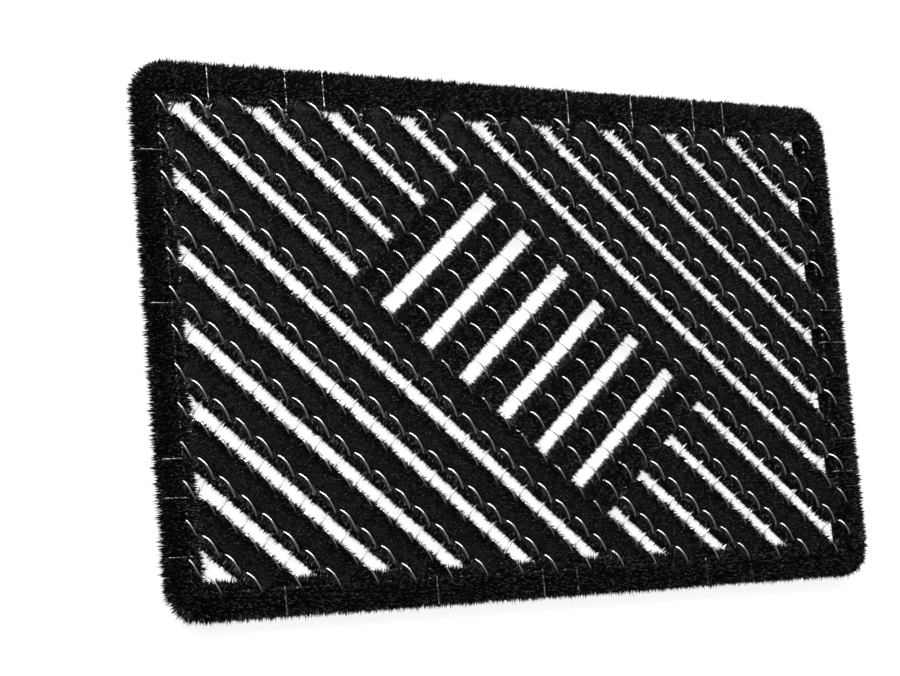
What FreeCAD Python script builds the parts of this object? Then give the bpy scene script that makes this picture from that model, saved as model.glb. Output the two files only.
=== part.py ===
import FreeCAD, Part
import math
import os

# Wire-and-brush door mat, lying flat. Millimetres, +Z up, X along the long side.
# Origin: centre of the footprint, on the floor.
# Rows of spiral wire run along X and hook into each other. Bristle fills
# alternate diagonal lines of their meshes, and a brush border frames them.

# --- Overall size ---
MAT_LENGTH = 750.0
MAT_WIDTH = 450.0
CORNER_R = 30.0
BRUSH_TOP = 20.5            # flattened tops of the bristles
BORDER_TOP = 21.0

# --- Spiral wires ---
WIRE_D = 1.6
ROW_COUNT = 26
HALF_TURN = 18.45           # X from a crest of a spiral to its next trough
ROW_PITCH = 15.385          # Y from one row to the next
SPIRAL_RY = 8.98            # flattened spiral: half-depth in the mat's plane
SPIRAL_RZ = 7.17            # and half-height
SPIRAL_Z = 13.1             # height of the spirals' axes
BEND_SHARE = 0.45           # share of a leg that the bend at each end takes

# --- Lattice placing: i counts half turns along X, y counts rows from the top ---
MID_I = 17.675
MID_Y = 12.275
FIRST_I = -1.75
LAST_I = 36.75

# --- Brush strips, measured in lattice lines ---
STRIP_STEP = 4              # strips and gaps alternate, two lines each
FIRST_STRIP = -23           # the falling line along the middle of the first strip
LAST_STRIP = 33
WHOLE_RUN = (-6.0, 66.0)    # rising lines well outside the field
WIDE_HALF = 1.15            # bristles spread over the wires beside them
NARROW_HALF = 0.67          # pinched where those wires pass
CENTRE_SPREAD_UP = 1.25     # the centre strips lean to one side
CENTRE_SPREAD_DOWN = 0.85
SHOULDER = 1.1              # from the axis height to the start of the spread
NOTCH_HALF = 0.31           # bristles part this far each side of a wire
NOTCH_OVERRUN = 0.5         # and past the strip's edge
NOTCH_CLEAR = 0.1           # a notch runs this far over the shoulder's level
CENTRE_D = (-2, 12)         # the centre field, between these falling lines
CENTRE_S = (18, 44)         # and between these rising lines
JOINT = 0.25                # falling strips stop short of the centre strips
CENTRE_CLEAR = 0.1          # centre strips stop short of the strips beside them

# --- Field that the strips fill, and the border round it ---
FIELD_I = (-1.0, 36.2)
FIELD_Y = (-0.12, 24.95)
POCKET_I = (-2.0, 37.0)
POCKET_Y = (-0.72, 25.72)
FIELD_GAP = 0.3
LIP_TOP = 4.8               # low inner lip that the spirals' ends lie over
ROD_D = 2.0
ROD_LIFT = 1.1              # the two frame rods lie one over the other
ROD_I = (-1.5, 36.5)
ROD_INSET_Y = 6.2           # rod centre from the axis of the outermost rows
ROD_CORNER_R = 6.0

# --- Tie wires: hairpins round the frame rods, out through the border ---
TIE_D = 1.4
TIE_BEND_R = 3.2
TIE_SHORT_LEG = 4.0
TIE_END_GAP = 2.0
TIE_SLOT = 2.4
TIES_TOP_I = (1, 5, 7, 21, 25, 29, 31)
TIES_BOTTOM_I = (3, 11, 17, 19, 27)
TIES_LEFT_Y = (2.5, 10.5, 18.5, 20.5, 23.5)
TIES_RIGHT_Y = (10.5, 12.5, 18.5, 20.5)

os.makedirs("parts", exist_ok=True)


def vec(x, y, z=0.0):
    return FreeCAD.Vector(x, y, z)


def at_x(i):
    """X of half turn i."""
    return HALF_TURN * (i - MID_I)


def at_y(y):
    """Y of row y, counted downwards."""
    return ROW_PITCH * (MID_Y - y)


def crossing(d, s):
    """Where falling lattice line d meets rising lattice line s."""
    return vec(at_x((s + d) / 2), at_y((s - d - 1) / 2))


def lattice_prism(d_range, s_range, z_range):
    """Upright prism over the mesh cells between two pairs of lattice lines."""
    d0, d1 = d_range
    s0, s1 = s_range
    low, high = z_range
    corners = [crossing(d0, s0), crossing(d1, s0), crossing(d1, s1), crossing(d0, s1)]
    outline = Part.makePolygon(corners + corners[:1])
    prism = Part.Face(outline).extrude(vec(0, 0, high - low))
    prism.translate(vec(0, 0, low))
    return prism


def box(x_range, y_range, z_range):
    x0, x1 = sorted(x_range)
    y0, y1 = sorted(y_range)
    z0, z1 = z_range
    return Part.makeBox(x1 - x0, y1 - y0, z1 - z0, vec(x0, y0, z0))


def bent_path(points, bend_share):
    """Straight runs through the points, joined by tangent arcs."""
    edges = []
    start = points[0]
    for before, corner, after in zip(points, points[1:], points[2:]):
        back = before - corner
        ahead = after - corner
        reach = bend_share * min(back.Length, ahead.Length)
        back.normalize()
        ahead.normalize()
        enter = corner + back * reach
        leave = corner + ahead * reach
        half_angle = back.getAngle(ahead) / 2
        radius = reach * math.tan(half_angle)
        centre_ray = back + ahead
        centre_ray.normalize()
        centre = corner + centre_ray * (reach / math.cos(half_angle))
        middle = centre - centre_ray * radius
        edges.append(Part.LineSegment(start, enter).toShape())
        edges.append(Part.Arc(enter, middle, leave).toShape())
        start = leave
    edges.append(Part.LineSegment(start, points[-1]).toShape())
    return edges


def round_tube(edges, diameter):
    """Round wire swept along a smooth path."""
    path = Part.Wire(edges)
    first = edges[0]
    start = first.valueAt(first.FirstParameter)
    along = first.tangentAt(first.FirstParameter)
    ring = Part.Wire(Part.makeCircle(diameter / 2, start, along))
    tube = path.makePipeShell([ring], True, False)
    return tube if tube.ShapeType == "Solid" else Part.Solid(tube)


def save(name, solids):
    shape = solids[0] if len(solids) == 1 else Part.makeCompound(solids)
    shape.exportStep("parts/" + name + ".step")
    volume = sum(solid.Volume for solid in solids) / 1000
    print(f"{name:24s} {len(solids):3d} solid(s) {volume:8.2f} cm3 valid {shape.isValid()}")


# --- Spiral wires: each turn is a crest leg, a top leg, a trough leg and a bottom leg ---
def spiral_points(row):
    y_mid = at_y(row)
    corners = (
        (SPIRAL_RY, SPIRAL_RZ),
        (-SPIRAL_RY, SPIRAL_RZ),
        (-SPIRAL_RY, -SPIRAL_RZ),
        (SPIRAL_RY, -SPIRAL_RZ),
    )
    points = []
    first_crest = row % 2 - 4
    quarter_turns = int(2 * (LAST_I - first_crest)) + 2
    for quarter in range(quarter_turns):
        i = first_crest + 0.25 + 0.5 * quarter
        if not FIRST_I <= i <= LAST_I:
            continue
        across, up = corners[quarter % 4]
        points.append(vec(at_x(i), y_mid + across, SPIRAL_Z + up))
    return points


for row in range(ROW_COUNT):
    coil = round_tube(bent_path(spiral_points(row), BEND_SHARE), WIRE_D)
    save(f"spiral_wire_{row + 1:02d}", [coil])

# --- Brush strips ---
field = box(
    [at_x(i) for i in FIELD_I],
    [at_y(y) for y in FIELD_Y],
    (0.0, BRUSH_TOP),
)
low_shoulder = SPIRAL_Z - SHOULDER
high_shoulder = SPIRAL_Z + SHOULDER
notch_top = high_shoulder + NOTCH_CLEAR
notch_floor = low_shoulder - NOTCH_CLEAR


def trimmed(strip, notches):
    """Strip kept inside the field, with the notches that the wires pass through."""
    solids = strip.removeSplitter().common(field).cut(Part.makeCompound(notches)).Solids
    return [max(solids, key=lambda solid: solid.Volume)]


def falling_strip(middle, s_range):
    """Strip along a falling line: the wires cross it low down."""
    base = lattice_prism(
        (middle - WIDE_HALF, middle + WIDE_HALF), s_range, (0.0, low_shoulder))
    crown = lattice_prism(
        (middle - NARROW_HALF, middle + NARROW_HALF), s_range, (low_shoulder, BRUSH_TOP))
    across = (middle - 1 - NOTCH_OVERRUN, middle + 1 + NOTCH_OVERRUN)
    notches = []
    for row in range(ROW_COUNT):
        s_wire = 2 * row + middle + 1
        along = (s_wire - NOTCH_HALF, s_wire + NOTCH_HALF)
        notches.append(lattice_prism(across, along, (-1.0, notch_top)))
    return trimmed(base.fuse(crown), notches)


def rising_strip(middle, d_range):
    """Strip along a rising line: the wires cross it near the top."""
    base = lattice_prism(
        d_range, (middle - NARROW_HALF, middle + NARROW_HALF), (0.0, high_shoulder))
    crown = lattice_prism(
        d_range, (middle - CENTRE_SPREAD_UP, middle + CENTRE_SPREAD_DOWN),
        (high_shoulder, BRUSH_TOP))
    across = (middle - 1 - NOTCH_OVERRUN, middle + 1 + NOTCH_OVERRUN)
    notches = []
    for row in range(ROW_COUNT):
        d_wire = middle - 1 - 2 * row
        along = (d_wire - NOTCH_HALF, d_wire + NOTCH_HALF)
        notches.append(lattice_prism(along, across, (notch_floor, BRUSH_TOP + 1)))
    return trimmed(base.fuse(crown), notches)


strip_number = 1
stop_before = CENTRE_S[0] - JOINT - (CENTRE_SPREAD_UP - 1)
start_after = CENTRE_S[1] + JOINT
for middle in range(FIRST_STRIP, LAST_STRIP + 1, STRIP_STEP):
    if CENTRE_D[0] < middle < CENTRE_D[1]:
        runs = [(WHOLE_RUN[0], stop_before), (start_after, WHOLE_RUN[1])]
    else:
        runs = [WHOLE_RUN]
    for run in runs:
        save(f"falling_brush_{strip_number:02d}", falling_strip(middle, run))
        strip_number += 1

centre_stop = WIDE_HALF - 1 + CENTRE_CLEAR
centre_run = (CENTRE_D[0] + centre_stop, CENTRE_D[1] - centre_stop)
centre_middles = range(CENTRE_S[0] + 1, CENTRE_S[1], STRIP_STEP)
for number, middle in enumerate(centre_middles, start=1):
    save(f"centre_brush_{number}", rising_strip(middle, centre_run))

# --- Frame rods: two closed loops, one over the other, through the outer spirals ---
rod_x = [at_x(i) for i in ROD_I]
rod_y = [at_y(0) + ROD_INSET_Y, at_y(ROW_COUNT - 1) - ROD_INSET_Y]
rod_top, rod_bottom = rod_y


def rounded_loop(x_range, y_range, z, radius, diameter):
    """Closed rod with rounded corners, starting at the middle of one long side."""
    x0, x1 = sorted(x_range)
    y0, y1 = sorted(y_range)
    start = vec(0, y0, z)
    stops = [start, vec(x1, y0, z), vec(x1, y1, z), vec(x0, y1, z), vec(x0, y0, z)]
    edges = []
    last = start
    for corner, after in zip(stops[1:], stops[2:] + [start]):
        back = (last - corner).normalize()
        ahead = (after - corner).normalize()
        enter = corner + back * radius
        leave = corner + ahead * radius
        middle = corner + (back + ahead) * (radius * (1 - math.sqrt(0.5)))
        edges.append(Part.LineSegment(last, enter).toShape())
        edges.append(Part.Arc(enter, middle, leave).toShape())
        last = leave
    edges.append(Part.LineSegment(last, start).toShape())
    return round_tube(edges, diameter)


save("frame_rod_upper",
     [rounded_loop(rod_x, rod_y, SPIRAL_Z + ROD_LIFT, ROD_CORNER_R, ROD_D)])
save("frame_rod_lower",
     [rounded_loop(rod_x, rod_y, SPIRAL_Z - ROD_LIFT, ROD_CORNER_R, ROD_D)])


# --- Tie wires ---
def hairpin(rod_point, outward, edge_distance):
    """Wire bent round the rods, its upper leg running out to the mat's edge."""
    rise = vec(0, 0, TIE_BEND_R)
    long_leg = outward * (edge_distance - TIE_END_GAP)
    short_leg = outward * TIE_SHORT_LEG
    edges = [
        Part.LineSegment(rod_point + long_leg + rise, rod_point + rise).toShape(),
        Part.Arc(rod_point + rise, rod_point - outward * TIE_BEND_R,
                 rod_point - rise).toShape(),
        Part.LineSegment(rod_point - rise, rod_point - rise + short_leg).toShape(),
    ]
    return round_tube(edges, TIE_D)


half_x = MAT_LENGTH / 2
half_y = MAT_WIDTH / 2
ties = []
slots = []
for side, rod_level, places in ((1, rod_top, TIES_TOP_I), (-1, rod_bottom, TIES_BOTTOM_I)):
    for i in places:
        x = at_x(i)
        ties.append(hairpin(vec(x, rod_level, SPIRAL_Z), vec(0, side),
                            half_y - abs(rod_level)))
        slots.append(box((x - TIE_SLOT / 2, x + TIE_SLOT / 2),
                         (rod_level, side * (half_y + 1)),
                         (SPIRAL_Z + TIE_BEND_R - TIE_SLOT / 2, BORDER_TOP + 1)))
for side, rod_level, places in ((-1, rod_x[0], TIES_LEFT_Y), (1, rod_x[1], TIES_RIGHT_Y)):
    for row in places:
        y = at_y(row)
        ties.append(hairpin(vec(rod_level, y, SPIRAL_Z), vec(side, 0),
                            half_x - abs(rod_level)))
        slots.append(box((rod_level, side * (half_x + 1)),
                         (y - TIE_SLOT / 2, y + TIE_SLOT / 2),
                         (SPIRAL_Z + TIE_BEND_R - TIE_SLOT / 2, BORDER_TOP + 1)))
save("border_tie_wires", ties)

# --- Border brush: four lengths with a low inner lip, parted where the ties cross ---
slab = box((-half_x, half_x), (-half_y, half_y), (0.0, BORDER_TOP))
corners = [edge for edge in slab.Edges
           if abs(edge.tangentAt(edge.FirstParameter).z) > 0.99]
slab = slab.makeFillet(CORNER_R, corners)
pocket = box([at_x(i) for i in POCKET_I], [at_y(y) for y in POCKET_Y],
             (LIP_TOP, BORDER_TOP + 1))
inner_x = (at_x(FIELD_I[0]) - FIELD_GAP, at_x(FIELD_I[1]) + FIELD_GAP)
inner_y = (at_y(FIELD_Y[0]) + FIELD_GAP, at_y(FIELD_Y[1]) - FIELD_GAP)
side_y = (inner_y[1] + FIELD_GAP, inner_y[0] - FIELD_GAP)
full_height = (0.0, BORDER_TOP)
lengths = {
    "border_brush_top": box((-half_x, half_x), (inner_y[0], half_y), full_height),
    "border_brush_bottom": box((-half_x, half_x), (-half_y, inner_y[1]), full_height),
    "border_brush_left": box((-half_x, inner_x[0]), side_y, full_height),
    "border_brush_right": box((inner_x[1], half_x), side_y, full_height),
}
for name, region in lengths.items():
    length = slab.common(region).cut(pocket)
    for slot in slots:
        length = length.cut(slot)
    save(name, length.Solids)
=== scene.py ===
import bpy
import bmesh
import math
from mathutils import Matrix, Vector


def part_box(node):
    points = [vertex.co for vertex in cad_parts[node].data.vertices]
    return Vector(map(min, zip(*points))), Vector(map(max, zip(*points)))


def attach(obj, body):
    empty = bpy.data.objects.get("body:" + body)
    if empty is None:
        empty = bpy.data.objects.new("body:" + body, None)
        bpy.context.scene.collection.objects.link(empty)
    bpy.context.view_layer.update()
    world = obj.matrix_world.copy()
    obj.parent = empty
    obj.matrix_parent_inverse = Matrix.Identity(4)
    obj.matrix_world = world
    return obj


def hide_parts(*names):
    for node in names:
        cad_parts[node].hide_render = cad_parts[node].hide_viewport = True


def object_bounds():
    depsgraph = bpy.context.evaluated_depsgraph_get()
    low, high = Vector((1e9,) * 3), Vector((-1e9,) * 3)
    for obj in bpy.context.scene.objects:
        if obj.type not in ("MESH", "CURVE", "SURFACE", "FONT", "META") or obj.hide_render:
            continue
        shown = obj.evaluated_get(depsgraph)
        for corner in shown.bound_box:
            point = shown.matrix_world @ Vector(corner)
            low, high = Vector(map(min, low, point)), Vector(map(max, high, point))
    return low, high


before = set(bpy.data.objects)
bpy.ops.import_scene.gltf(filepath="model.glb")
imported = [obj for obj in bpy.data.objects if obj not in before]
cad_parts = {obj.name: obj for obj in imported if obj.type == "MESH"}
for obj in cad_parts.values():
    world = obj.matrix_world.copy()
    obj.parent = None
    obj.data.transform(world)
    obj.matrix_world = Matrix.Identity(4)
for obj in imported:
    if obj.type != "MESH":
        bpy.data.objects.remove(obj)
cad_low, cad_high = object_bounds()

# --- The stage: a pale light table in a white studio ---
# The mat lies on a glowing white table, so its gaps read white. A square soft
# box stands at the back left and a long one at the back right. The camera looks
# down from the left, a little nearer to the front edge than to the back one.
CAMERA_TARGET = Vector((-0.0844, 0.0008, 0.010))
CAMERA_DISTANCE = 2.1078
CAMERA_AZIMUTH = math.radians(-78.10)      # from the front edge, towards +X
CAMERA_ELEVATION = math.radians(53.73)
CAMERA_ROLL = math.radians(-4.895)
CAMERA_LENS = 99.06
SENSOR_WIDTH = 36.0
NEAREST_SEEN = 0.05
FARTHEST_SEEN = 50.0
TABLE_HALF = 4.0
TABLE_GREY = (0.08, 0.08, 0.08, 1)
TABLE_GLOW = (1.0, 0.99, 0.975, 1)
TABLE_GLOW_STRENGTH = 0.9
STUDIO_STRENGTH = 0.35
MIDDLE_OF_MAT = (0, 0, 0)


def place_camera():
    """Camera aimed at the mat, with the mat's width running up the view."""
    back = Vector((
        math.sin(CAMERA_AZIMUTH) * math.cos(CAMERA_ELEVATION),
        -math.cos(CAMERA_AZIMUTH) * math.cos(CAMERA_ELEVATION),
        math.sin(CAMERA_ELEVATION),
    ))
    right = Vector((0, 1, 0)).cross(back).normalized()
    up = back.cross(right)
    turn = Matrix((right, up, back)).transposed()
    turn = Matrix.Rotation(CAMERA_ROLL, 3, back) @ turn
    camera = bpy.data.objects.new("camera", bpy.data.cameras.new("camera"))
    camera.data.lens = CAMERA_LENS
    camera.data.sensor_width = SENSOR_WIDTH
    camera.data.clip_start = NEAREST_SEEN
    camera.data.clip_end = FARTHEST_SEEN
    camera.matrix_world = (
        Matrix.Translation(CAMERA_TARGET + back * CAMERA_DISTANCE) @ turn.to_4x4()
    )
    bpy.context.scene.collection.objects.link(camera)
    bpy.context.scene.camera = camera


def add_mesh_object(name, vertices, edges, faces):
    mesh = bpy.data.meshes.new(name)
    mesh.from_pydata(vertices, edges, faces)
    made = bpy.data.objects.new(name, mesh)
    bpy.context.scene.collection.objects.link(made)
    return made


def soft_box(name, place, size, power, colour):
    """Rectangular lamp that faces the middle of the mat."""
    light = bpy.data.lights.new(name, "AREA")
    light.shape = "RECTANGLE"
    light.size, light.size_y = size
    light.energy = power
    light.color = colour
    lamp = bpy.data.objects.new(name, light)
    lamp.location = place
    lamp.rotation_mode = "QUATERNION"
    aim = Vector(MIDDLE_OF_MAT) - Vector(place)
    lamp.rotation_quaternion = aim.to_track_quat("-Z", "Y")
    bpy.context.scene.collection.objects.link(lamp)


place_camera()
table = add_mesh_object(
    "light_table",
    [(x * TABLE_HALF, y * TABLE_HALF, 0.0) for x, y in ((-1, -1), (1, -1), (1, 1), (-1, 1))],
    [],
    [(0, 1, 2, 3)],
)
glow = bpy.data.materials.new("glowing table top")
glow.use_nodes = True
top = glow.node_tree.nodes["Principled BSDF"]
top.inputs["Base Color"].default_value = TABLE_GREY
top.inputs["Roughness"].default_value = 0.8
top.inputs["Emission Color"].default_value = TABLE_GLOW
top.inputs["Emission Strength"].default_value = TABLE_GLOW_STRENGTH
table.data.materials.append(glow)

soft_box("left_soft_box", (-1.5, 0.9, 1.6), (0.9, 0.9), 125.0, (1.0, 1.0, 1.0))
soft_box("back_soft_box", (0.8, 1.6, 1.4), (2.0, 0.6), 150.0, (0.95, 0.98, 1.0))
studio = bpy.data.worlds.new("white studio")
studio.use_nodes = True
studio.node_tree.nodes["Background"].inputs["Color"].default_value = (1, 1, 1, 1)
studio.node_tree.nodes["Background"].inputs["Strength"].default_value = STUDIO_STRENGTH
bpy.context.scene.world = studio
bpy.context.scene.view_settings.view_transform = "Standard"


# --- The spiral wires ---
# Twenty-six flattened spirals of galvanised steel wire, wound all the same way
# and screwed into each other row by row, each crest hooked round the trough of
# the row behind.
WIRE_WIDTH = 0.0016
HALF_TURN = 0.01845
MIDDLE_HALF_TURN = 17.675           # half turns are counted from the left end
COIL_HALF_DEPTH = 0.00898
COIL_HALF_HEIGHT = 0.00717
STEPS_PER_HALF_TURN = 12
WIRE_SIDES = 8
ROWS = 26
FIRST_HALF_TURN = -1.7
LAST_HALF_TURN = 36.7


class Flow:
    """A node's output. Sums and products of it become Math nodes."""

    def __init__(self, tree, socket):
        self.tree = tree
        self.socket = socket

    def math(self, operation, first, second=0.0):
        return Fitting(self.tree, "ShaderNodeMath", {"operation": operation},
                       {0: first, 1: second})["Value"]

    def __add__(self, other):
        return self.math("ADD", self, other)

    def __radd__(self, other):
        return self.math("ADD", other, self)

    def __sub__(self, other):
        return self.math("SUBTRACT", self, other)

    def __rsub__(self, other):
        return self.math("SUBTRACT", other, self)

    def __mul__(self, other):
        return self.math("MULTIPLY", self, other)

    def __rmul__(self, other):
        return self.math("MULTIPLY", other, self)

    def __truediv__(self, other):
        return self.math("DIVIDE", self, other)

    def __pow__(self, other):
        return self.math("POWER", self, other)

    def __lt__(self, other):
        return self.math("LESS_THAN", self, other)


class Fitting:
    """One node: its type, its settings, then the values or links of its sockets."""

    def __init__(self, tree, kind, settings=None, inputs=None):
        self.tree = tree
        self.node = tree.nodes.new(kind)
        for name, value in (settings or {}).items():
            setattr(self.node, name, value)
        for name, value in (inputs or {}).items():
            if isinstance(value, Flow):
                tree.links.new(value.socket, self.node.inputs[name])
            else:
                self.node.inputs[name].default_value = value

    def __getitem__(self, name):
        return Flow(self.tree, self.node.outputs[name])


def new_tree(name, sockets):
    """Geometry tree with named inputs, and the Fitting that gives them."""
    tree = bpy.data.node_groups.new(name, "GeometryNodeTree")
    for label, kind in sockets:
        tree.interface.new_socket(label, in_out="INPUT", socket_type="NodeSocket" + kind)
    tree.interface.new_socket("Geometry", in_out="OUTPUT", socket_type="NodeSocketGeometry")
    return tree, Fitting(tree, "NodeGroupInput")


def close_tree(tree, geometry, material, smooth):
    """Ends a tree: real geometry, shading, then its material."""
    real = Fitting(tree, "GeometryNodeRealizeInstances", inputs={"Geometry": geometry})
    shaded = Fitting(tree, "GeometryNodeSetShadeSmooth", inputs={
        "Geometry": real["Geometry"], "Shade Smooth": smooth})
    painted = Fitting(tree, "GeometryNodeSetMaterial", inputs={
        "Geometry": shaded["Geometry"], "Material": material})
    Fitting(tree, "NodeGroupOutput", inputs={"Geometry": painted["Geometry"]})


def shaped_by(base, tree, values, name):
    """Plain mesh piece that the tree makes out of the base object."""
    modifier = base.modifiers.new("shape", "NODES")
    modifier.node_group = tree
    for item in tree.interface.items_tree:
        if item.in_out == "INPUT" and item.name in values:
            modifier[item.identifier] = values[item.name]
    bpy.context.view_layer.update()
    evaluated = base.evaluated_get(bpy.context.evaluated_depsgraph_get())
    mesh = bpy.data.meshes.new_from_object(evaluated)
    base.modifiers.remove(modifier)
    mesh.name = name
    piece = bpy.data.objects.new(name, mesh)
    bpy.context.scene.collection.objects.link(piece)
    return piece


def new_material(name):
    """Material, its Principled shader, its tree and its Object coordinates."""
    material = bpy.data.materials.new(name)
    material.use_nodes = True
    tree = material.node_tree
    shader = tree.nodes["Principled BSDF"]
    place = Fitting(tree, "ShaderNodeTexCoord")["Object"]
    return material, shader, tree, place


def blend_colours(tree, share, first, second):
    mix = Fitting(tree, "ShaderNodeMix", {"data_type": "RGBA"},
                  {0: share, 6: first, 7: second})
    return Flow(tree, mix.node.outputs[2])


def galvanised(name, dark, bright):
    """Zinc-coated steel: cloudy zinc, dull spots and fine drawing marks."""
    material, shader, tree, place = new_material(name)
    clouds = Fitting(tree, "ShaderNodeTexNoise", inputs={
        "Vector": place, "Scale": 160.0, "Detail": 4.0})["Fac"]
    grain = Fitting(tree, "ShaderNodeTexNoise", inputs={
        "Vector": place, "Scale": 1400.0, "Detail": 2.0})["Fac"]
    spread = Fitting(tree, "ShaderNodeMapRange", inputs={
        "Value": clouds * 0.7 + grain * 0.3, "From Min": 0.35, "From Max": 0.65})["Result"]
    colour = blend_colours(tree, spread, dark, bright)
    tree.links.new(colour.socket, shader.inputs["Base Color"])
    tree.links.new((0.42 - spread * 0.16).socket, shader.inputs["Roughness"])
    shader.inputs["Metallic"].default_value = 1.0
    bump = Fitting(tree, "ShaderNodeBump", inputs={
        "Height": grain, "Strength": 0.25, "Distance": 0.0002})
    tree.links.new(bump["Normal"].socket, shader.inputs["Normal"])
    return material


wire_tree, given = new_tree("round wire", (
    ("Path", "Geometry"), ("Wire Width", "Float"), ("Sides", "Int"), ("Steel", "Material")))
section = Fitting(wire_tree, "GeometryNodeCurvePrimitiveCircle", inputs={
    "Resolution": given["Sides"], "Radius": given["Wire Width"] / 2})
wire = Fitting(wire_tree, "GeometryNodeMeshToCurve", inputs={"Mesh": given["Path"]})
tube = Fitting(wire_tree, "GeometryNodeCurveToMesh", inputs={
    "Curve": wire["Curve"], "Profile Curve": section["Curve"], "Fill Caps": True})
close_tree(wire_tree, tube["Mesh"], given["Steel"], True)

zinc = galvanised("galvanised wire", (0.24, 0.243, 0.247, 1), (0.42, 0.425, 0.43, 1))
spiral_paths = []
for row in range(ROWS):
    node = f"spiral_wire_{row + 1:02d}"
    low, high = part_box(node)
    axis = (low + high) / 2
    steps = round((LAST_HALF_TURN - FIRST_HALF_TURN) * STEPS_PER_HALF_TURN)
    points = []
    for step in range(steps + 1):
        i = FIRST_HALF_TURN + step / STEPS_PER_HALF_TURN
        angle = math.pi * (i - row % 2)
        points.append((
            HALF_TURN * (i - MIDDLE_HALF_TURN),
            axis.y + COIL_HALF_DEPTH * math.cos(angle),
            axis.z + COIL_HALF_HEIGHT * math.sin(angle),
        ))
    links = [(n, n + 1) for n in range(steps)]
    path = add_mesh_object(f"path_{node}", points, links, [])
    spiral_paths.append(path)
    coil = shaped_by(path, wire_tree, {
        "Wire Width": WIRE_WIDTH, "Sides": WIRE_SIDES, "Steel": zinc}, f"coil_{row + 1:02d}")
    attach(coil, "root")
    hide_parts(node)

# One object with every spiral's centre line, which the bristles part round.
wire_lines = bmesh.new()
for path in spiral_paths:
    wire_lines.from_mesh(path.data)
all_wires = add_mesh_object("all_wire_lines", [], [], [])
wire_lines.to_mesh(all_wires.data)
wire_lines.free()
for path in spiral_paths:
    bpy.data.objects.remove(path)


# --- The frame rods and the tie wires ---
# Two closed rods of thicker galvanised wire lie one over the other inside the
# outermost turns. Hairpins of thin wire hook round both and run out through
# the border, to hold it on.
rod_steel = galvanised("galvanised rod", (0.10, 0.10, 0.09, 1), (0.26, 0.25, 0.23, 1))
# The tie steel is coloured much darker than the spiral wire: painted shade for the ties lying sunk
# in their notches.
tie_steel_painted_shade = galvanised("galvanised tie", (0.08, 0.08, 0.09, 1), (0.34, 0.35, 0.36, 1))
for node, steel in (("frame_rod_upper", rod_steel), ("frame_rod_lower", rod_steel),
                    ("border_tie_wires", tie_steel_painted_shade)):
    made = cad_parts[node]
    made.data.materials.clear()
    made.data.materials.append(steel)

SAME_CORNER = 1e-6                  # corners of the CAD mesh closer than this are one


def tie_boxes():
    """Lowest and highest corner of each hairpin."""
    ties = bmesh.new()
    ties.from_mesh(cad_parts["border_tie_wires"].data)
    bmesh.ops.remove_doubles(ties, verts=ties.verts, dist=SAME_CORNER)
    waiting = set(ties.verts)
    boxes = []
    while waiting:
        hairpin = []
        reached = [waiting.pop()]
        while reached:
            corner = reached.pop()
            hairpin.append(corner.co.copy())
            for link in corner.link_edges:
                other = link.other_vert(corner)
                if other in waiting:
                    waiting.remove(other)
                    reached.append(other)
        boxes.append((Vector(map(min, zip(*hairpin))), Vector(map(max, zip(*hairpin)))))
    ties.free()
    return boxes


# Each tie pulls a shallow parting into the border above it and a notch into the
# outer edge. These lines mark both, for the bristles to keep clear of.
PARTING_HEIGHT = 0.0203
NOTCH_HEIGHTS = (0.004, 0.007, 0.010, 0.013, 0.016)
NOTCH_DEPTH = 0.005
RIM_OVERRUN = 0.003                 # the lines run this far past the outer edge
partings = bmesh.new()
partings.from_mesh(all_wires.data)
for tie_low, tie_high in tie_boxes():
    middle = (tie_low + tie_high) / 2
    axis = 0 if tie_high.x - tie_low.x > tie_high.y - tie_low.y else 1
    outward = math.copysign(1, middle[axis])
    rim = outward * (cad_high[axis] + RIM_OVERRUN)
    for level in (PARTING_HEIGHT, *NOTCH_HEIGHTS):
        ends = []
        reach = (rim - middle[axis]) if level == PARTING_HEIGHT else outward * NOTCH_DEPTH
        for back in (0, reach):
            point = Vector((middle.x, middle.y, level))
            point[axis] = rim - back
            ends.append(partings.verts.new(point))
        partings.edges.new(ends)
partings.to_mesh(all_wires.data)
partings.free()


# --- The diagonal brush strips ---
# Bundles of stiff black plastic bristle lie in every other diagonal line of
# meshes. The turns on both sides grip them at mid-height, so that they fan out
# above and below, bury the wires on one side and leave them bare on the other.
ROW_PITCH = 0.015385
MIDDLE_ROW = 12.275
STRIP_STEP = 4                      # strips and gaps alternate, two lines each
FIRST_STRIP = -23                   # falling line along the middle of the first strip
LAST_STRIP = 33
WHOLE_RUN = (-6.0, 66.0)            # rising lines well outside the field
RUN_BEFORE_CENTRE = 0.5             # a falling strip stops this far before the centre
RUN_AFTER_CENTRE = 0.25             # and starts again this far after it
STRIP_REACH = 1.25                  # half-width, in lattice lines
CENTRE_LINES = (-2, 12)             # the centre field, between falling lines
CENTRE_CROSS_LINES = (18, 44)       # and between rising lines
LINE_SPACING = 0.01182              # between two lattice lines
GRIP_Z = 0.0131                     # height of the spirals' axes


def lattice(d, s):
    """Where falling line d meets rising line s."""
    return Vector((HALF_TURN * ((s + d) / 2 - MIDDLE_HALF_TURN),
                   ROW_PITCH * (MIDDLE_ROW - (s - d - 1) / 2), 0.0))


def clipped(outline, low, high):
    """Part of a convex outline that lies inside a box."""
    for axis, limit, sign in ((0, low.x, 1), (0, high.x, -1), (1, low.y, 1), (1, high.y, -1)):
        kept = []
        for here, after in zip(outline, outline[1:] + outline[:1]):
            a = sign * (here[axis] - limit)
            b = sign * (after[axis] - limit)
            if a >= 0:
                kept.append(here)
            if a * b < 0:
                kept.append(here.lerp(after, a / (a - b)))
        outline = kept
    return outline


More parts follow.
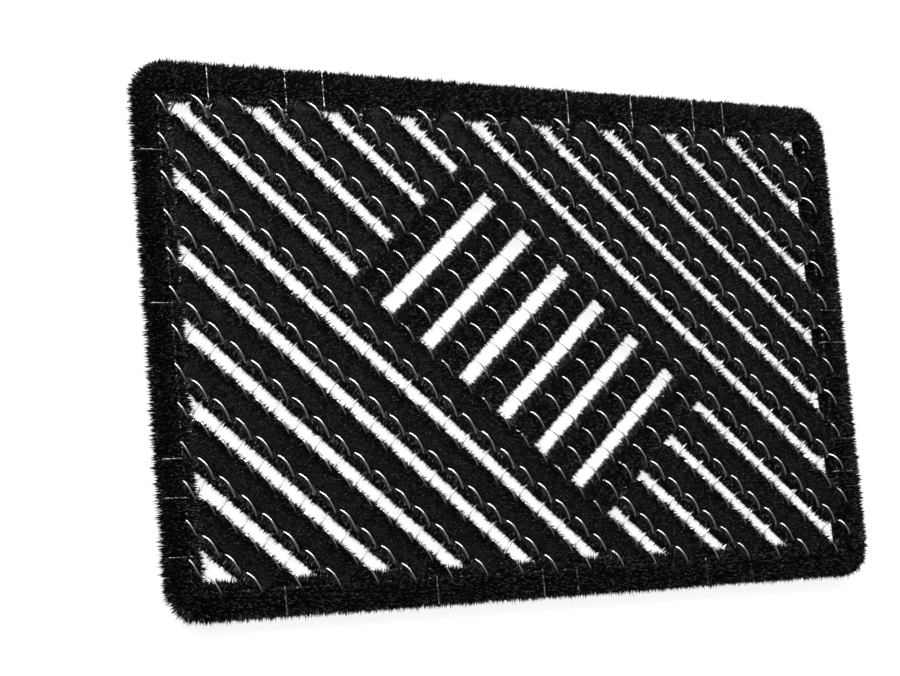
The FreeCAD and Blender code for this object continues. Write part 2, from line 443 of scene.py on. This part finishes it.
def brush_tree():
    """Tips over a bed, each joined to its root at the grip by a thin spike."""
    tree, given = new_tree("brush", (
        ("Core", "Geometry"), ("Bed", "Object"), ("Spine", "Object"), ("Wires", "Object"),
        ("Top Density", "Float"), ("Side Density", "Float"), ("Underside Density", "Float"),
        ("Top Height", "Float"), ("Top Root", "Float"), ("Under Root", "Float"),
        ("Reach", "Float"), ("Root Share", "Float"), ("Side Root Share", "Float"),
        ("High Side", "Vector"), ("Lift", "Float"),
        ("Edge Drop", "Float"), ("Fray", "Float"), ("Tuft Size", "Float"),
        ("Bristle Width", "Float"), ("Wire Clearance", "Float"),
        ("Clear From", "Float"), ("Buried From", "Float"),
        ("Seed", "Int"), ("Plastic", "Material")))

    def vector(operation, first, second=(0, 0, 0), out="Vector"):
        return Fitting(tree, "ShaderNodeVectorMath", {"operation": operation},
                       {0: first, 1: second})[out]

    def scaled(first, amount):
        return Fitting(tree, "ShaderNodeVectorMath", {"operation": "SCALE"},
                       {0: first, "Scale": amount})["Vector"]

    def upright(z):
        return Fitting(tree, "ShaderNodeCombineXYZ", inputs={"Z": z})["Vector"]

    def chance(low, high, seed):
        node = Fitting(tree, "FunctionNodeRandomValue", {"data_type": "FLOAT"}, {
            2: low, 3: high, "Seed": given["Seed"] + seed})
        return Flow(tree, node.node.outputs[1])

    def drawn(name):
        return Fitting(tree, "GeometryNodeObjectInfo", {"transform_space": "ORIGINAL"},
                       {"Object": given[name]})["Geometry"]

    def nearest(target, where):
        return Fitting(tree, "GeometryNodeProximity", {"target_element": "EDGES"},
                       {0: target, "Sample Position": where})

    bed, spine, wires = drawn("Bed"), drawn("Spine"), drawn("Wires")
    cone = Fitting(tree, "GeometryNodeMeshCone", inputs={
        "Vertices": 3, "Radius Top": 0.0, "Radius Bottom": 1.0, "Depth": 1.0})
    place = Fitting(tree, "GeometryNodeInputPosition")["Position"]
    height = Fitting(tree, "ShaderNodeSeparateXYZ", inputs={"Vector": place})["Z"]
    spike = Fitting(tree, "GeometryNodeStoreNamedAttribute",
                    {"data_type": "FLOAT", "domain": "POINT"},
                    {"Geometry": cone["Mesh"], "Name": "rise", "Value": height})["Geometry"]

    centre = nearest(spine, place)["Position"]
    offset = vector("SUBTRACT", place, centre)
    across = vector("LENGTH", offset, out="Value")
    outward = vector("NORMALIZE", offset)
    side = vector("DOT_PRODUCT", offset, given["High Side"], out="Value")
    edge = across / given["Reach"]
    noise = Fitting(tree, "ShaderNodeTexNoise", {"noise_dimensions": "3D"}, {
        "Vector": place, "Scale": given["Tuft Size"], "Detail": 2.0})["Fac"]
    tuft = (noise - 0.5) * given["Fray"] * 3.0

    def grown(density, seed, root, tip, stoutness=1.0):
        """Spikes from root to tip, left out where they would cross a bare wire."""
        points = Fitting(tree, "GeometryNodeDistributePointsOnFaces", inputs={
            "Mesh": bed, "Density": density, "Seed": given["Seed"] + seed})
        held = Fitting(tree, "GeometryNodeCaptureAttribute")
        held.node.capture_items.new("VECTOR", "Root")
        held.node.capture_items.new("VECTOR", "Bristle")
        held.node.capture_items.new("FLOAT", "Bare")
        bristle = vector("SUBTRACT", tip, root)
        gap = None
        for share in (0.0, 0.5, 1.0):
            checked = given["Clear From"] * (1.0 - share) + share
            along = vector("ADD", root, scaled(bristle, checked))
            distance = nearest(wires, along)["Distance"]
            gap = distance if gap is None else gap.math("MINIMUM", gap, distance)
        bare = (gap < given["Wire Clearance"]) * (side < given["Buried From"])
        for name, value in (("Geometry", points["Points"]), ("Root", root),
                            ("Bristle", bristle), ("Bare", bare)):
            tree.links.new(value.socket, held.node.inputs[name])
        kept = Fitting(tree, "GeometryNodeDeleteGeometry", {"domain": "POINT"}, {
            "Geometry": held["Geometry"], "Selection": held["Bare"]})
        toned = Fitting(tree, "GeometryNodeStoreNamedAttribute",
                        {"data_type": "FLOAT", "domain": "POINT"},
                        {"Geometry": kept["Geometry"], "Name": "tone",
                         "Value": chance(0.0, 1.0, seed + 1)})
        moved = Fitting(tree, "GeometryNodeSetPosition", inputs={
            "Geometry": toned["Geometry"], "Position": held["Root"]})
        turned = Fitting(tree, "FunctionNodeAlignRotationToVector", {"axis": "Z"},
                         {"Vector": held["Bristle"]})
        width = given["Bristle Width"] * 0.5 * stoutness * chance(0.75, 1.25, seed + 2)
        size = Fitting(tree, "ShaderNodeCombineXYZ", inputs={
            "X": width, "Y": width, "Z": vector("LENGTH", held["Bristle"], out="Value")})
        return Fitting(tree, "GeometryNodeInstanceOnPoints", inputs={
            "Points": moved["Geometry"], "Instance": spike,
            "Rotation": turned["Rotation"], "Scale": size["Vector"]})["Instances"]

    def root_at(share, z):
        return vector("ADD", vector("ADD", centre, scaled(offset, share)), upright(z))

    high_share = side / given["Reach"]
    raised = high_share.math("MAXIMUM", high_share, 0.0)
    top_z = (given["Top Height"] + given["Lift"] * raised * raised
             - given["Edge Drop"] * edge ** 3.0 + tuft * 0.5
             + chance(-0.9, 0.35, 11) * given["Fray"])
    top_tip = vector("ADD", vector("ADD", place, upright(top_z)),
                     scaled(outward, tuft * edge + chance(-0.5, 0.5, 12) * given["Fray"]))
    top = grown(given["Top Density"], 20,
                root_at(given["Root Share"], given["Top Root"]), top_tip)

    under_z = chance(0.0, 0.9, 13) * given["Fray"] + 0.0002
    under_tip = vector("ADD", vector("ADD", place, upright(under_z)),
                       scaled(outward, tuft * edge))
    under = grown(given["Underside Density"], 30,
                  root_at(given["Root Share"], given["Under Root"]), under_tip)

    side_z = chance(0.0015, 1.0, 14) * (given["Top Height"] - given["Edge Drop"])
    bulge = side_z / given["Top Height"] - 0.6
    flank = (given["Reach"] * (1.0 - 0.25 * bulge * bulge)
             + tuft * 2.0 + chance(-1.1, 0.7, 15) * given["Fray"])
    side_tip = vector("ADD", vector("ADD", centre, upright(side_z)), scaled(outward, flank))
    side_root = vector(
        "ADD", vector("ADD", centre, scaled(outward, given["Reach"] * given["Side Root Share"])),
        upright(given["Top Root"] * 0.35 + side_z * 0.6))
    sides = grown(given["Side Density"], 40, side_root, side_tip, 1.5)

    joined = Fitting(tree, "GeometryNodeJoinGeometry")
    for part in (sides, under, top, given["Core"]):
        tree.links.new(part.socket, joined.node.inputs["Geometry"])
    close_tree(tree, joined["Geometry"], given["Plastic"], False)
    return tree


def bristle_plastic(name, dark, painted_backlight_brown, painted_glint_grey, painted_glint_from):
    """Black plastic monofilament: a painted backlight makes the thin tips brown, in random
    patches, and painted glints turn a few ends grey.
    """
    material, shader, tree, place = new_material(name)
    tone = Fitting(tree, "ShaderNodeAttribute", {"attribute_name": "tone"})["Fac"]
    rise = Fitting(tree, "ShaderNodeAttribute", {"attribute_name": "rise"})["Fac"]
    patches = Fitting(tree, "ShaderNodeTexNoise", inputs={
        "Vector": place, "Scale": 45.0, "Detail": 3.0})["Fac"]
    fleck = Fitting(tree, "ShaderNodeTexNoise", inputs={
        "Vector": place, "Scale": 2200.0, "Detail": 1.0})["Fac"]
    # Painted backlight: a warm brown towards the tips (rise), where light would show through the
    # thin plastic, in random patches.
    painted_backlight_share = Fitting(tree, "ShaderNodeMapRange", inputs={
        "Value": patches * 0.6 + tone * 0.5, "From Min": 0.45, "From Max": 0.85})["Result"]
    base = blend_colours(tree, painted_backlight_share * rise, dark, painted_backlight_brown)
    # Painted glints: the very ends of the bristles past a random tone turn grey.
    painted_glint_ends = Fitting(tree, "ShaderNodeMapRange", inputs={
        "Value": tone + fleck * 0.06, "From Min": painted_glint_from, "From Max": painted_glint_from + 0.02})
    share = painted_glint_ends["Result"] * rise ** 8.0
    with_painted_glints = blend_colours(tree, share, base, painted_glint_grey)
    tree.links.new(with_painted_glints.socket, shader.inputs["Base Color"])
    tree.links.new((0.62 - tone * 0.2 + fleck * 0.08).socket, shader.inputs["Roughness"])
    shader.inputs["Specular IOR Level"].default_value = 0.06
    bump = Fitting(tree, "ShaderNodeBump", inputs={
        "Height": fleck, "Strength": 0.3, "Distance": 0.0002})
    tree.links.new(bump["Normal"].socket, shader.inputs["Normal"])
    return material


def packed_core(path, section):
    """Closed beam of packed bristle along a level path; section is (across, z) pairs."""
    ring = path[0] == path[-1]
    stops = path[:-1] if ring else path
    vertices, faces = [], []
    for n, here in enumerate(stops):
        before = stops[n - 1] if ring or n else here
        after = stops[(n + 1) % len(stops)] if ring or n + 1 < len(stops) else here
        ahead = ((here - before).normalized() + (after - here).normalized()).normalized()
        turn = max(ahead.dot((after - here).normalized()), 0.5) if after != here else 1.0
        left = Vector((-ahead.y, ahead.x, 0)) / turn
        vertices += [here + left * across + Vector((0, 0, z)) for across, z in section]
    size = len(section)
    spans = len(stops) if ring else len(stops) - 1
    for n in range(spans):
        near, far = n * size, (n + 1) % len(stops) * size
        for k in range(size):
            m = (k + 1) % size
            faces.append((near + k, near + m, far + m, far + k))
    if not ring:
        faces.append(tuple(range(size))[::-1])
        faces.append(tuple(range(spans * size, spans * size + size)))
    core = add_mesh_object("core", vertices, [], faces)
    shell = bmesh.new()
    shell.from_mesh(core.data)
    bmesh.ops.recalc_face_normals(shell, faces=shell.faces)
    shell.to_mesh(core.data)
    shell.free()
    return core


def add_tufts(core, tufts, z_range):
    """Packed tufts between the wires, each over four corners of the lattice."""
    mesh = bmesh.new()
    mesh.from_mesh(core.data)
    for corners in tufts:
        low_ring, high_ring = [
            [mesh.verts.new(corner + Vector((0, 0, z))) for corner in corners]
            for z in z_range]
        mesh.faces.new(low_ring[::-1])
        mesh.faces.new(high_ring)
        for n in range(4):
            m = (n + 1) % 4
            mesh.faces.new((low_ring[n], low_ring[m], high_ring[m], high_ring[n]))
    bmesh.ops.recalc_face_normals(mesh, faces=mesh.faces)
    mesh.to_mesh(core.data)
    mesh.free()
    return core


def inside_box(corners, low, high, margin=0.0):
    return all(low.x - margin <= p.x <= high.x + margin
               and low.y - margin <= p.y <= high.y + margin for p in corners)


def make_brush(node, name, outline, spine, core, values):
    """Bristles over an outline, fanning from a spine, in place of a CAD solid."""
    bed = add_mesh_object("bed", outline, [], [range(len(outline))])
    rail = add_mesh_object("spine", spine, [(n, n + 1) for n in range(len(spine) - 1)], [])
    brush = shaped_by(core, brush_maker, {
        "Bed": bed, "Spine": rail, "Wires": all_wires, **values}, name)
    for helper in (bed, rail, core):
        bpy.data.objects.remove(helper)
    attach(brush, "root")
    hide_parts(node)


brush_maker = brush_tree()
# Colours: black, a warm brown as painted backlight at the tips, grey as painted glints on a few
# ends.
falling_plastic = bristle_plastic(
    "falling bristle", (0.0013, 0.0012, 0.0013, 1), (0.010, 0.007, 0.0045, 1),
    (0.30, 0.29, 0.27, 1), 0.84)
strip_values = {
    "Top Density": 0.52e6, "Side Density": 1.0e6, "Underside Density": 0.18e6,
    "Top Height": 0.0204, "Top Root": 0.0150, "Under Root": 0.0080,
    "Reach": 1.35 * LINE_SPACING, "Root Share": 0.86, "Side Root Share": 0.62,
    "Lift": 0.0062, "Edge Drop": 0.0014, "Fray": 0.0017,
    "Tuft Size": 300.0, "Bristle Width": 0.0016, "Wire Clearance": 0.00085,
    "Clear From": 0.4, "Buried From": 0.0075,
}
# Packed bristle rests on the turns below it, between the turns on both sides.
LOW_CORE = ((0, 0.0076), (0.0065, 0.0101), (0.0093, 0.0126), (0.0098, 0.0158),
            (0.0085, 0.0174), (-0.0085, 0.0174), (-0.0098, 0.0158), (-0.0093, 0.0126),
            (-0.0065, 0.0101))
FOOT_HALF = 1.12                    # half-width of a tuft's foot, in lattice lines
FOOT_Z = (0.0015, 0.0112)
WIRE_ROOM = 0.22                    # a tuft stops this far short of a crossing wire
HIGH_SIDE_REACH = 1.26              # the bristles bury the wires on this side
up_right = Vector((ROW_PITCH, HALF_TURN, 0)).normalized()
up_left = Vector((-ROW_PITCH, HALF_TURN, 0)).normalized()
strip_number = 0
for middle in range(FIRST_STRIP, LAST_STRIP + 1, STRIP_STEP):
    runs = [WHOLE_RUN]
    if CENTRE_LINES[0] < middle < CENTRE_LINES[1]:
        runs = [(WHOLE_RUN[0], CENTRE_CROSS_LINES[0] - RUN_BEFORE_CENTRE),
                (CENTRE_CROSS_LINES[1] + RUN_AFTER_CENTRE, WHOLE_RUN[1])]
    for first, last in runs:
        strip_number += 1
        node = f"falling_brush_{strip_number:02d}"
        low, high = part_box(node)
        outline = [lattice(middle - STRIP_REACH, first), lattice(middle - STRIP_REACH, last),
                   lattice(middle + HIGH_SIDE_REACH, last),
                   lattice(middle + HIGH_SIDE_REACH, first)]
        spine = [lattice(middle, first), lattice(middle, last)]
        ends = sorted(clipped(spine, low, high), key=lambda point: point.x)
        tufts = []
        for row in range(-1, ROWS + 1):
            near = 2 * row + middle + 1 + WIRE_ROOM
            far = near + 2 - 2 * WIRE_ROOM
            tuft = [lattice(d, cross) for d, cross in (
                (middle - FOOT_HALF, near), (middle + FOOT_HALF, near),
                (middle + FOOT_HALF, far), (middle - FOOT_HALF, far))]
            if inside_box(tuft, low, high) and first <= near and far <= last:
                tufts.append(tuft)
        core = add_tufts(packed_core([ends[0], ends[-1]], LOW_CORE), tufts, FOOT_Z)
        make_brush(node, f"falling_strip_{strip_number:02d}",
                   clipped(outline, low, high), spine, core,
                   {**strip_values, "Seed": 100 * strip_number, "High Side": up_right,
                    "Plastic": falling_plastic})


# --- The centre strips ---
# In the middle field the bundles lie the other way, along the rising lines of
# meshes. Here the turns cross over the bristles and sink between their tips.
CENTRE_REACH = 1.21
CENTRE_LEAN = -0.2                  # the bundles sit a little up and to the left
CENTRE_END = 0.25                   # how far the strips stop short at both ends
CENTRE_STRIPS = 7
HEAD_UP = 1.12                      # how far a tuft's head spreads, in lattice lines
HEAD_DOWN = 0.72
HEAD_Z = (0.0145, 0.0164)
HEAD_OVERRUN = 0.5                  # how far a head may pass the strip's end
BASE_HALF = 0.8                     # half-width of the packed bristle below the turns
BASE_Z = (0.0015, 0.0130)
CORE_SINK = 0.0014                  # the core sits this much under the turns
HIGH_CORE = [(across, 2 * GRIP_Z - z - CORE_SINK) for across, z in LOW_CORE]
# Colours: black, a warm brown as painted backlight at the tips, grey as painted glints on a few
# ends.
centre_plastic = bristle_plastic(
    "centre bristle", (0.0013, 0.0012, 0.0013, 1), (0.007, 0.006, 0.005, 1),
    (0.30, 0.29, 0.28, 1), 0.86)
for number in range(CENTRE_STRIPS):
    middle = CENTRE_CROSS_LINES[0] + 1 + STRIP_STEP * number
    spine_line = middle + CENTRE_LEAN
    first, last = CENTRE_LINES[0] + CENTRE_END, CENTRE_LINES[1] - CENTRE_END
    outline = [lattice(first, spine_line - CENTRE_REACH), lattice(last, spine_line - CENTRE_REACH),
               lattice(last, spine_line + CENTRE_REACH), lattice(first, spine_line + CENTRE_REACH)]
    spine = [lattice(first, spine_line), lattice(last, spine_line)]
    grip = [lattice(first, middle), lattice(last, middle)]
    tufts = []
    for row in range(ROWS):
        near = middle - 1 - 2 * row + WIRE_ROOM
        far = near + 2 - 2 * WIRE_ROOM
        if near >= first - HEAD_OVERRUN and far <= last + HEAD_OVERRUN:
            tufts.append([lattice(d, cross) for d, cross in (
                (near, middle - HEAD_UP), (far, middle - HEAD_UP),
                (far, middle + HEAD_DOWN), (near, middle + HEAD_DOWN))])
    core = add_tufts(packed_core(grip, HIGH_CORE), tufts, HEAD_Z)
    base = [lattice(d, cross) for d, cross in (
        (first, middle - BASE_HALF), (last, middle - BASE_HALF),
        (last, middle + BASE_HALF), (first, middle + BASE_HALF))]
    core = add_tufts(core, [base], BASE_Z)
    make_brush(f"centre_brush_{number + 1}", f"centre_strip_{number + 1}",
               outline, spine, core,
               {**strip_values, "Seed": 5000 + 100 * number, "High Side": up_left,
                "Reach": 1.31 * LINE_SPACING, "Buried From": 1.0, "Wire Clearance": 0.0009,
                "Top Density": 0.9e6, "Top Root": 0.0130, "Side Density": 0.9e6,
                "Clear From": 0.9, "Lift": 0.0, "Top Height": 0.0207, "Root Share": 0.8,
                "Plastic": centre_plastic})


# --- The border brush ---
# A thick brush of the same bristle, laid right round the frame and bound to it
# by the tie wires. It fans outwards all round, radially at the corners, and
# each tie pulls a narrow parting into it.
BORDER_CORNER = 0.030
BORDER_SPINE_INSET = 0.0165
BORDER_REACH = 0.0165
CORNER_STEPS = 8
BORDER_CORE_INSET = 0.0115
CORE_STEP = 0.004                   # spacing of the points along the core
BORDER_CORE = ((-0.0045, 0.0015), (0.0184, 0.0015), (0.0184, 0.0042), (0.0060, 0.0055),
               (0.0055, 0.009), (0.0040, 0.0150), (-0.0040, 0.0150), (-0.0055, 0.009))


def rounded_outline(low, high, inset, radius):
    """Rounded rectangle, anticlockwise, as a list of points at the floor."""
    points = []
    for x, y, start in ((high.x, high.y, 0), (low.x, high.y, 1), (low.x, low.y, 2),
                        (high.x, low.y, 3)):
        toward = Vector((math.copysign(1, x), math.copysign(1, y), 0)) * (inset + radius)
        centre = Vector((x, y, 0)) - toward
        for step in range(CORNER_STEPS + 1):
            angle = (start + step / CORNER_STEPS) * math.pi / 2
            points.append(centre + Vector((math.cos(angle), math.sin(angle), 0)) * radius)
    return points


def divided(ring, step):
    """Closed outline with its long sides divided into short ones."""
    points = []
    for here, after in zip(ring, ring[1:] + ring[:1]):
        count = max(1, math.ceil((after - here).length / step))
        points += [here.lerp(after, n / count) for n in range(count)]
    return points


def core_run(low, high):
    """Stretch of the core's line that lies inside one length's box, end to end."""
    line = border_core_line
    inside = [low.x <= p.x <= high.x and low.y <= p.y <= high.y for p in line]
    first = next(n for n in range(len(line)) if inside[n] and not inside[n - 1])
    count = sum(inside)
    return [line[(first + n) % len(line)] for n in range(count + 1)]


# Colours: black, a warm brown as painted backlight at the tips, grey as painted glints on a few
# ends.
border_plastic = bristle_plastic(
    "border bristle", (0.0014, 0.0014, 0.0017, 1), (0.010, 0.008, 0.006, 1),
    (0.30, 0.30, 0.32, 1), 0.86)
border_outline = rounded_outline(cad_low, cad_high, 0.0, BORDER_CORNER)
border_spine = rounded_outline(
    cad_low, cad_high, BORDER_SPINE_INSET, BORDER_CORNER - BORDER_SPINE_INSET)
border_spine.append(border_spine[0])
border_core_line = divided(rounded_outline(
    cad_low, cad_high, BORDER_CORE_INSET, BORDER_CORNER - BORDER_CORE_INSET), CORE_STEP)
for number, side in enumerate(("top", "bottom", "left", "right")):
    node = f"border_brush_{side}"
    low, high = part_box(node)
    make_brush(node, f"border_{side}", clipped(border_outline, low, high),
               border_spine, packed_core(core_run(low, high), BORDER_CORE),
               {**strip_values, "Seed": 9000 + 100 * number, "Reach": BORDER_REACH,
                "Root Share": 0.84, "Side Root Share": 0.5, "Top Root": 0.0125,
                "High Side": Vector((0, 0, 0)), "Lift": 0.0,
                "Top Density": 0.95e6, "Side Density": 0.6e6, "Tuft Size": 260.0,
                "Edge Drop": 0.003, "Top Height": 0.0209, "Fray": 0.0026,
                "Clear From": 0.95, "Wire Clearance": 0.0005, "Buried From": 1.0,
                "Plastic": border_plastic})

bpy.data.objects.remove(all_wires)
